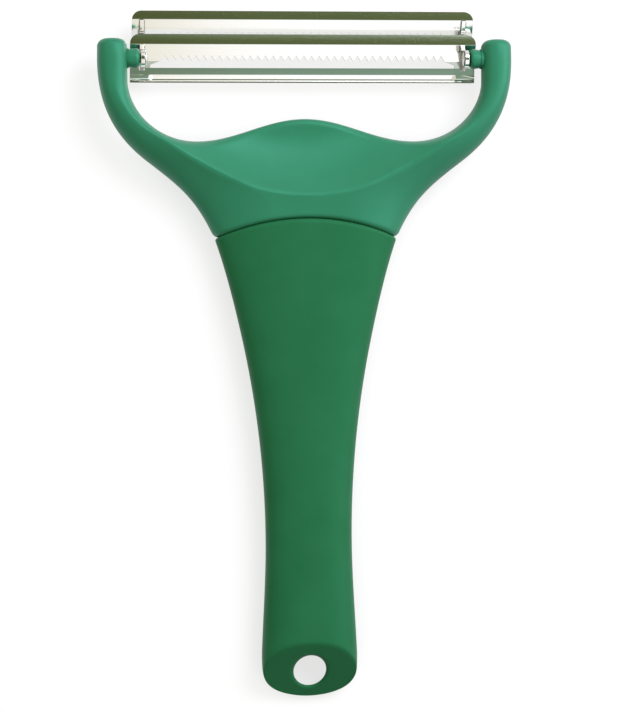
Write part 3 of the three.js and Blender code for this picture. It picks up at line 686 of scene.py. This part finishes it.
def sheet_body(name, lines, x_levels):
    """Bent sheet: one line in (y, z) at each x level."""
    rows = []
    for line, x in zip(lines, x_levels):
        curve = rounded(line, BEND_ROUND)
        section = np.concatenate([beside(curve, SHEET / 2), beside(curve, -SHEET / 2)[::-1]])
        rows.append(np.insert(section, 0, x, axis=1))
    return loft(name, np.array(rows))


def arc(x, y, radius, start, end):
    turn = np.linspace(start, end, ARC_STEPS + 1)
    return np.stack([x + radius * np.cos(turn), y + radius * np.sin(turn)], axis=-1)


def teeth(y):
    """Tooth tips and roots from left to right, with the tips at height y."""
    x = np.linspace(-TOOTHED_HALF, TOOTHED_HALF, 2 * TOOTH_COUNT + 1)
    height = np.where(np.arange(len(x)) % 2 == 1, y + TOOTH_DEPTH, y)
    return np.stack([x, height], axis=-1)


def lip_outline(top, half):
    """From the right end of a blade over its lip to the left end."""
    x, y = half - LIP_CORNER, top - LIP_CORNER
    right = arc(x, y, LIP_CORNER, 0, np.pi / 2)
    return np.concatenate([right, arc(-x, y, LIP_CORNER, np.pi / 2, np.pi)])


def make_front_blade(material):
    edges = WINDOW_HALF + GUARD_FADE * np.linspace(-1, 1, 2 * ARC_STEPS)
    x_levels = np.concatenate([[-BLADE_HALF], -edges[::-1], edges, [BLADE_HALF]])
    bead = 1 - smoothstep(np.abs(x_levels), WINDOW_HALF - GUARD_FADE, WINDOW_HALF + GUARD_FADE)
    blade = sheet_body("front_plate", [front_line(share) for share in bead], x_levels)
    x, y = BLADE_HALF - GUARD_CORNER, GUARD_BOTTOM + GUARD_CORNER
    left_foot = arc(-x, y, GUARD_CORNER, np.pi, 1.5 * np.pi)
    right_foot = arc(x, y, GUARD_CORNER, 1.5 * np.pi, 2 * np.pi)
    plan = np.concatenate([left_foot, right_foot, lip_outline(LIP_TOP, BLADE_HALF)])
    combine(blade, prism("plan", plan, BACK, FRONT, 2), "INTERSECT")
    sill = -WINDOW_HEIGHT
    ends = sill + WINDOW_END
    window = np.concatenate([
        [[WINDOW_HALF, ends], [WINDOW_HALF, sill], [-WINDOW_HALF, sill], [-WINDOW_HALF, ends]],
        teeth(0),
    ])
    combine(blade, prism("window", window, BACK, FRONT, 2), "DIFFERENCE")
    slot = LOBE_HALF + FIT
    for side in SIDES.values():
        near, far = sorted((side * (CHEEK_INNER - FIT), side * (CHEEK_OUTER + FIT)))
        outline = [[-slot, BACK], [slot, BACK], [slot, FRONT], [-slot, FRONT]]
        combine(blade, prism("slot", outline, near, far, 0), "DIFFERENCE")
    break_edges(blade, EDGE_BREAK)
    return finish_piece(blade, "blade_unit", "front_blade", material)


def make_rear_blade(material):
    blade = sheet_body("rear_plate", [rear_line()] * 2, [-REAR_HALF, REAR_HALF])
    feet = np.array([[-REAR_HALF, BLADE_PITCH], [REAR_HALF, BLADE_PITCH]])
    lip = lip_outline(LIP_TOP + BLADE_PITCH, REAR_HALF)
    plan = np.concatenate([feet[:1], teeth(BLADE_PITCH), feet[1:], lip])
    combine(blade, prism("plan", plan, BACK, FRONT, 2), "INTERSECT")
    break_edges(blade, EDGE_BREAK)
    return finish_piece(blade, "blade_unit", "rear_blade", material)


def height_at(line, y):
    return np.interp(y, line[::-1, 0], line[::-1, 1])


def make_cheek(name, side, material):
    """A web between the two blades, a rib on the rear blade's slope and a round lobe for the pin."""
    front = beside(lip_and_slope(LIP_HEIGHT, 0), -SHEET / 2 - FIT)
    rear = beside(rear_line(), SHEET / 2 + FIT)
    rib = beside(rear_line(), SHEET / 2 + FIT + CHEEK_RIB)
    bend, foot = front[-2], rear[-1]
    under_lip = bend[1] - LIP_CROWN
    rib_end = BLADE_PITCH + LIP_TOP - REAR_LIP - RIB_END
    outline = np.concatenate([
        [[-LOBE_HALF, -RUNNER_SET_BACK], [foot[0], -RUNNER_SET_BACK], foot],
        [[rib_end, height_at(rear, rib_end)], [rib_end, height_at(rib, rib_end)]],
        [[LIP_TOP, height_at(rib, LIP_TOP)], [LIP_TOP, under_lip], [bend[0], under_lip]],
        [[LOBE_HALF, height_at(front, LOBE_HALF)]],
        arc(0, 0, LOBE_HALF, 0, np.pi),
    ])
    near, far = sorted((side * CHEEK_INNER, side * CHEEK_OUTER))
    cheek = prism(f"end_plate_{name}", outline, near, far, 0)
    hole = prism("pin_hole", arc(0, 0, PIN_RADIUS + FIT, 0, 2 * np.pi)[1:], near - FIT, far + FIT, 0)
    combine(cheek, hole, "DIFFERENCE")
    break_edges(cheek, CHEEK_ROUND)
    return finish_piece(cheek, "blade_unit", f"cheek_{name}", material)


# Materials

WHITE = (1.0, 1.0, 1.0)
NEW_STOP = 0.5  # where a ramp gets a new stop, before it is moved to its position
EVEN = (1, 1, 1)  # stretch of a noise that is alike along all axes
NOISE_STOPS = (0.3, 0.7)  # noise at the dark and at the light colour of a material
# Painted shade: the steel's base colour is darkened where ambient occlusion finds a crevice.
PAINTED_SHADE_REACH = 0.7  # millimetres within which shade is painted into the steel's crevices
PAINTED_SHADE_STOPS = (0.55, 0.85)  # how open a place is where the painted shade is darkest and where it ends
PAINTED_SHADE_DARK = (0.08, 0.085, 0.06)
CLOUD_SCALE = 90  # features a metre, as in the other scales
CLOUD_DETAIL = 4
GRAIN_SCALE = 4200
GRAIN_DETAIL = 2
GRAIN_ROUGHNESS = 0.05  # how far the grain moves the roughness up and down
GRAIN_STRENGTH = 0.12
GRAIN_HEIGHT = 0.04  # millimetres
PLASTIC_SHEEN = (0.35, 0.9, 1.0)  # tint of the reflections
YOKE_LOOK = dict(dark=(54, 130, 97), light=(58, 135, 103), rough=0.42, gloss=0.5)
GRIP_LOOK = dict(dark=(43, 111, 72), light=(47, 116, 77), rough=0.46, gloss=0.15)
STREAK_SCALE = 60
STREAK_STRETCH = (1, 90, 90)  # 90 streaks across the blade for one along it
STREAK_DETAIL = 5
STREAK_STRENGTH = 0.015
STREAK_HEIGHT = 0.02  # millimetres
STEEL_DARK = (0.945, 0.945, 0.93)
STEEL_LIGHT = (0.985, 0.985, 0.975)
STEEL_ROUGHNESS = (0.09, 0.14)
STEEL_GRAZING = (0.4, 0.41, 0.4)  # tint at a grazing angle


def new_material(name):
    material = bpy.data.materials.new(name)
    material.use_nodes = True
    nodes = material.node_tree.nodes
    return material, nodes, material.node_tree.links, nodes["Principled BSDF"]


def noise(nodes, links, scale, stretch, detail):
    """Noise in the piece's own coordinates: scale in features a metre, stretch along each axis."""
    place = nodes.new("ShaderNodeTexCoord")
    mapping = nodes.new("ShaderNodeMapping")
    mapping.inputs["Scale"].default_value = stretch
    texture = nodes.new("ShaderNodeTexNoise")
    texture.inputs["Scale"].default_value = scale
    texture.inputs["Detail"].default_value = detail
    links.new(place.outputs["Object"], mapping.inputs["Vector"])
    links.new(mapping.outputs["Vector"], texture.inputs["Vector"])
    return texture.outputs["Fac"]


def ramp(nodes, links, value, stops):
    """Colours at positions of a value."""
    colours = nodes.new("ShaderNodeValToRGB")
    while len(colours.color_ramp.elements) < len(stops):
        colours.color_ramp.elements.new(NEW_STOP)
    for element, (position, colour) in zip(colours.color_ramp.elements, stops):
        element.position = position
        element.color = (*colour, 1)
    links.new(value, colours.inputs["Fac"])
    return colours.outputs["Color"]


def greys(stops):
    """Stops of a ramp from positions and grey levels."""
    return [(position, (level, level, level)) for position, level in stops]


def between(nodes, links, value, low, high):
    spread = nodes.new("ShaderNodeMapRange")
    spread.inputs["To Min"].default_value = low
    spread.inputs["To Max"].default_value = high
    links.new(value, spread.inputs["Value"])
    return spread.outputs["Result"]


def bump(nodes, links, shader, height, strength, distance):
    relief = nodes.new("ShaderNodeBump")
    relief.inputs["Strength"].default_value = strength
    relief.inputs["Distance"].default_value = distance * MM
    links.new(height, relief.inputs["Height"])
    links.new(relief.outputs["Normal"], shader.inputs["Normal"])


def mixed(nodes, links, one, other, way):
    """Two colours multiplied (MULTIPLY) or added (ADD)."""
    mix = nodes.new("ShaderNodeMix")
    mix.data_type = "RGBA"
    mix.blend_type = way
    mix.inputs["Factor"].default_value = 1.0
    links.new(one, mix.inputs["A"])
    links.new(other, mix.inputs["B"])
    return mix.outputs["Result"]


def painted_occlusion_shade(nodes, links, reach, stops):
    """Painted shade: colours by how open a place is within a reach in millimetres, from ambient
    occlusion.
    """
    closed = nodes.new("ShaderNodeAmbientOcclusion")
    closed.inputs["Distance"].default_value = reach * MM
    return ramp(nodes, links, closed.outputs["AO"], stops)


def srgb(red, green, blue):
    """A colour as a picture states it, in the shader's linear scale."""
    parts = [value / 255 for value in (red, green, blue)]
    return tuple(v / 12.92 if v <= 0.04045 else ((v + 0.055) / 1.055) ** 2.4 for v in parts)


def plastic_material(name, dark, light, rough, gloss):
    """Moulded plastic: faint clouds between two picture colours, and a fine satin grain."""
    material, nodes, links, shader = new_material(name)
    clouds = noise(nodes, links, CLOUD_SCALE, EVEN, CLOUD_DETAIL)
    stops = list(zip(NOISE_STOPS, (srgb(*dark), srgb(*light))))
    links.new(ramp(nodes, links, clouds, stops), shader.inputs["Base Color"])
    grain = noise(nodes, links, GRAIN_SCALE, EVEN, GRAIN_DETAIL)
    satin = between(nodes, links, grain, rough - GRAIN_ROUGHNESS, rough + GRAIN_ROUGHNESS)
    links.new(satin, shader.inputs["Roughness"])
    bump(nodes, links, shader, grain, GRAIN_STRENGTH, GRAIN_HEIGHT)
    shader.inputs["Specular IOR Level"].default_value = gloss
    shader.inputs["Specular Tint"].default_value = (*PLASTIC_SHEEN, 1)
    return material


def steel_material(name):
    """Rolled stainless sheet: fine streaks along the blade, and shade painted dark into its crevices."""
    material, nodes, links, shader = new_material(name)
    streaks = noise(nodes, links, STREAK_SCALE, STREAK_STRETCH, STREAK_DETAIL)
    metal = ramp(nodes, links, streaks, list(zip(NOISE_STOPS, (STEEL_DARK, STEEL_LIGHT))))
    # Painted shade: crevices found by ambient occlusion darken the metal's colour.
    painted_shade = painted_occlusion_shade(nodes, links, PAINTED_SHADE_REACH, list(zip(PAINTED_SHADE_STOPS, (PAINTED_SHADE_DARK, WHITE))))
    links.new(mixed(nodes, links, metal, painted_shade, "MULTIPLY"), shader.inputs["Base Color"])
    links.new(between(nodes, links, streaks, *STEEL_ROUGHNESS), shader.inputs["Roughness"])
    bump(nodes, links, shader, streaks, STREAK_STRENGTH, STREAK_HEIGHT)
    shader.inputs["Metallic"].default_value = 1.0
    shader.inputs["Specular Tint"].default_value = (*STEEL_GRAZING, 1)
    return material


# Camera

PICTURE_HEIGHT = 712  # pixels
MM_PER_PIXEL = 0.2844
LENS = 135.0
SENSOR = 36.0
VIEW_TARGET = (0.87, -0.4, 10.0)  # millimetres from the frame's origin
VIEW_YAW = math.radians(6.35)
VIEW_ROLL = math.radians(-0.546)


def make_camera():
    """Nearly straight above, with the picture's height across the sensor's long side."""
    lens = bpy.data.cameras.new("camera")
    lens.lens = LENS
    lens.sensor_width = SENSOR
    distance = PICTURE_HEIGHT * MM_PER_PIXEL * LENS / SENSOR
    camera = bpy.data.objects.new("camera", lens)
    behind = Vector((-math.sin(VIEW_YAW), 0, math.cos(VIEW_YAW)))
    camera.location = (Vector(VIEW_TARGET) + behind * distance) * MM
    turn = Matrix.Rotation(-VIEW_YAW, 3, "Y") @ Matrix.Rotation(VIEW_ROLL, 3, "Z")
    camera.rotation_euler = turn.to_euler()
    bpy.context.scene.collection.objects.link(camera)
    bpy.context.scene.camera = camera


# Studio, in metres

FLOOR_HALF = 3.0
FLOOR_GREY = (0.5, 0.5, 0.5)  # what the floor throws back at the object
FLOOR_SHADE = (0.207, 0.179, 0.19)  # the part of the floor's white that comes from the lamps
PAINTED_SHADOW_REACH = 12.0  # millimetres within which a shadow is painted into the floor's white
PAINTED_SHADOW_STOPS = greys([(0.2, 0.74), (0.5, 0.765), (0.75, 0.85), (1.0, 0.86)])  # the rest of the floor's white, darkened by openness as a painted shadow
ROOM_STOPS = [  # from the left wall at 0 to the right wall at 1
    (0.35, (0.66, 0.65, 0.56)),
    (0.515, (0.72, 0.66, 0.5)),
    (0.5425, (1.1, 1.1, 1.1)),
    (0.6, (1.1, 1.1, 1.1)),
    (0.8, (1.3, 1.3, 1.3)),
]
HORIZON_STOPS = [(0.54, (0.13, 0.14, 0.13)), (0.7, WHITE)]  # from the ground at 0 to the top at 1
FILL_STOPS = [(0.2, (0.14, 0.21, 0.08)), (0.75, (0.32, 0.42, 0.27))]  # from the butt to the blades
CEILING = (0.11, 0.126, 0.986)  # direction of the middle of the dark patch
CEILING_STOPS = [  # by the cosine of the angle from that middle
    (0.86, WHITE),
    (0.95, srgb(126, 152, 136)),
    (0.972, srgb(106, 128, 108)),
    (0.988, srgb(96, 108, 76)),
    (1.0, srgb(82, 92, 56)),
]
SOFTBOX = (0.36, 0.48, 0.8)  # direction of a bright patch in the room
SOFTBOX_STOPS = greys([(0.96, 0.0), (0.99, 6.0)])  # by the cosine too, as in the next one
SIDE_PANEL = (0.86, 0.2, 0.47)  # direction of another one
SIDE_PANEL_STOPS = greys([(0.89, 0.0), (0.97, 3.2)])
KEY_LAMP = dict(
    place=(0.385, 0.433, 0.77), aim=(0, 0, 0), size=0.55, power=8.2, colour=(0.86, 0.93, 1.05)
)
SIDE_LAMP = dict(
    place=(-0.7, 0.05, 0.07), aim=(0, 0.03, 0.01), size=0.12, power=0.4, colour=(0.95, 1.0, 0.7)
)


def seen_directly(nodes, links):
    """1 for what the camera sees, also in a mirror or through glass."""
    path = nodes.new("ShaderNodeLightPath")
    either = path.outputs["Is Camera Ray"]
    for ray in ("Is Glossy Ray", "Is Transmission Ray"):
        more = nodes.new("ShaderNodeMath")
        more.operation = "MAXIMUM"
        links.new(either, more.inputs[0])
        links.new(path.outputs[ray], more.inputs[1])
        either = more.outputs[0]
    return either


def switched(nodes, links, switch, off, on):
    """One shader where the switch is 0, and the other one where it is 1."""
    mix = nodes.new("ShaderNodeMixShader")
    links.new(switch, mix.inputs["Fac"])
    links.new(off, mix.inputs[1])
    links.new(on, mix.inputs[2])
    return mix.outputs[0]


def diffuse(nodes, colour):
    shader = nodes.new("ShaderNodeBsdfDiffuse")
    shader.inputs["Color"].default_value = (*colour, 1)
    return shader.outputs[0]


def floor_material():
    """White paper that keeps the object's shadow from the lamps, has a painted shadow near the object
    from ambient occlusion, and lights the object as grey paper does.
    """
    material = bpy.data.materials.new("floor_paper")
    material.use_nodes = True
    nodes, links = material.node_tree.nodes, material.node_tree.links
    nodes.clear()
    white = nodes.new("ShaderNodeEmission")
    # Painted shadow: the emitted white is darker where ambient occlusion finds the object close by.
    links.new(painted_occlusion_shade(nodes, links, PAINTED_SHADOW_REACH, PAINTED_SHADOW_STOPS), white.inputs["Color"])
    bright = nodes.new("ShaderNodeAddShader")
    links.new(diffuse(nodes, FLOOR_SHADE), bright.inputs[0])
    links.new(white.outputs[0], bright.inputs[1])
    seen = seen_directly(nodes, links)
    paper = switched(nodes, links, seen, diffuse(nodes, FLOOR_GREY), bright.outputs[0])
    links.new(paper, nodes.new("ShaderNodeOutputMaterial").inputs["Surface"])
    return material


def make_floor():
    mesh = bpy.data.meshes.new("floor")
    corners = [(-1, -1), (1, -1), (1, 1), (-1, 1)]
    mesh.from_pydata([(x * FLOOR_HALF, y * FLOOR_HALF, 0) for x, y in corners], [], [(0, 1, 2, 3)])
    mesh.materials.append(floor_material())
    floor = bpy.data.objects.new("floor", mesh)
    bpy.context.scene.collection.objects.link(floor)


def across_room(nodes, links, direction, axis, stops):
    """Colours from one end of the room to the other along an axis."""
    parts = nodes.new("ShaderNodeSeparateXYZ")
    links.new(direction, parts.inputs[0])
    share = nodes.new("ShaderNodeMapRange")
    share.inputs["From Min"].default_value = -1.0
    links.new(parts.outputs[axis], share.inputs["Value"])
    return ramp(nodes, links, share.outputs["Result"], stops)


def towards(nodes, links, direction, goal, stops):
    """Colours by the cosine of the angle from a goal in the room."""
    match = nodes.new("ShaderNodeVectorMath")
    match.operation = "DOT_PRODUCT"
    match.inputs[1].default_value = goal
    links.new(direction, match.inputs[0])
    return ramp(nodes, links, match.outputs["Value"], stops)


def background(nodes, links, colour):
    shader = nodes.new("ShaderNodeBackground")
    links.new(colour, shader.inputs["Color"])
    return shader.outputs[0]


def make_world():
    """Even light; a mirror sees a white room with a dark olive patch above the object and two lamps."""
    world = bpy.data.worlds.new("studio")
    bpy.context.scene.world = world
    world.use_nodes = True
    nodes, links = world.node_tree.nodes, world.node_tree.links
    nodes.clear()
    direction = nodes.new("ShaderNodeTexCoord").outputs["Generated"]
    walls = across_room(nodes, links, direction, "X", ROOM_STOPS)
    ceiling = towards(nodes, links, direction, CEILING, CEILING_STOPS)
    horizon = across_room(nodes, links, direction, "Z", HORIZON_STOPS)
    shell = mixed(nodes, links, mixed(nodes, links, walls, ceiling, "MULTIPLY"), horizon, "MULTIPLY")
    softbox = towards(nodes, links, direction, SOFTBOX, SOFTBOX_STOPS)
    panel = towards(nodes, links, direction, SIDE_PANEL, SIDE_PANEL_STOPS)
    room = mixed(nodes, links, shell, mixed(nodes, links, softbox, panel, "ADD"), "ADD")
    fill = across_room(nodes, links, direction, "Y", FILL_STOPS)
    path = nodes.new("ShaderNodeLightPath")
    lights = [background(nodes, links, colour) for colour in (fill, room)]
    unseen = switched(nodes, links, path.outputs["Is Glossy Ray"], *lights)
    white = nodes.new("ShaderNodeBackground")
    white.inputs["Color"].default_value = (*WHITE, 1)
    seen = switched(nodes, links, path.outputs["Is Camera Ray"], unseen, white.outputs[0])
    links.new(seen, nodes.new("ShaderNodeOutputWorld").inputs["Surface"])


def make_lamp(name, place, aim, size, power, colour):
    """A round lamp that a mirror doesn't show."""
    lamp = bpy.data.lights.new(name, "AREA")
    lamp.shape = "DISK"
    lamp.size = size
    lamp.energy = power
    lamp.color = colour
    holder = bpy.data.objects.new(name, lamp)
    holder.location = place
    holder.rotation_euler = (Vector(aim) - Vector(place)).to_track_quat("-Z", "Y").to_euler()
    holder.visible_glossy = False
    bpy.context.scene.collection.objects.link(holder)


make_camera()
make_floor()
make_world()
make_lamp("key", **KEY_LAMP)
make_lamp("side", **SIDE_LAMP)
bpy.context.scene.view_settings.view_transform = "Standard"

yoke_green = plastic_material("yoke_plastic", **YOKE_LOOK)
grip_green = plastic_material("grip_plastic", **GRIP_LOOK)
steel = steel_material("blade_steel")
make_yoke(yoke_green)
make_grip(grip_green)
make_front_blade(steel)
make_rear_blade(steel)
for name, side in SIDES.items():
    make_bush(name, side, yoke_green)
    make_pin(name, side, steel)
    make_cheek(name, side, steel)
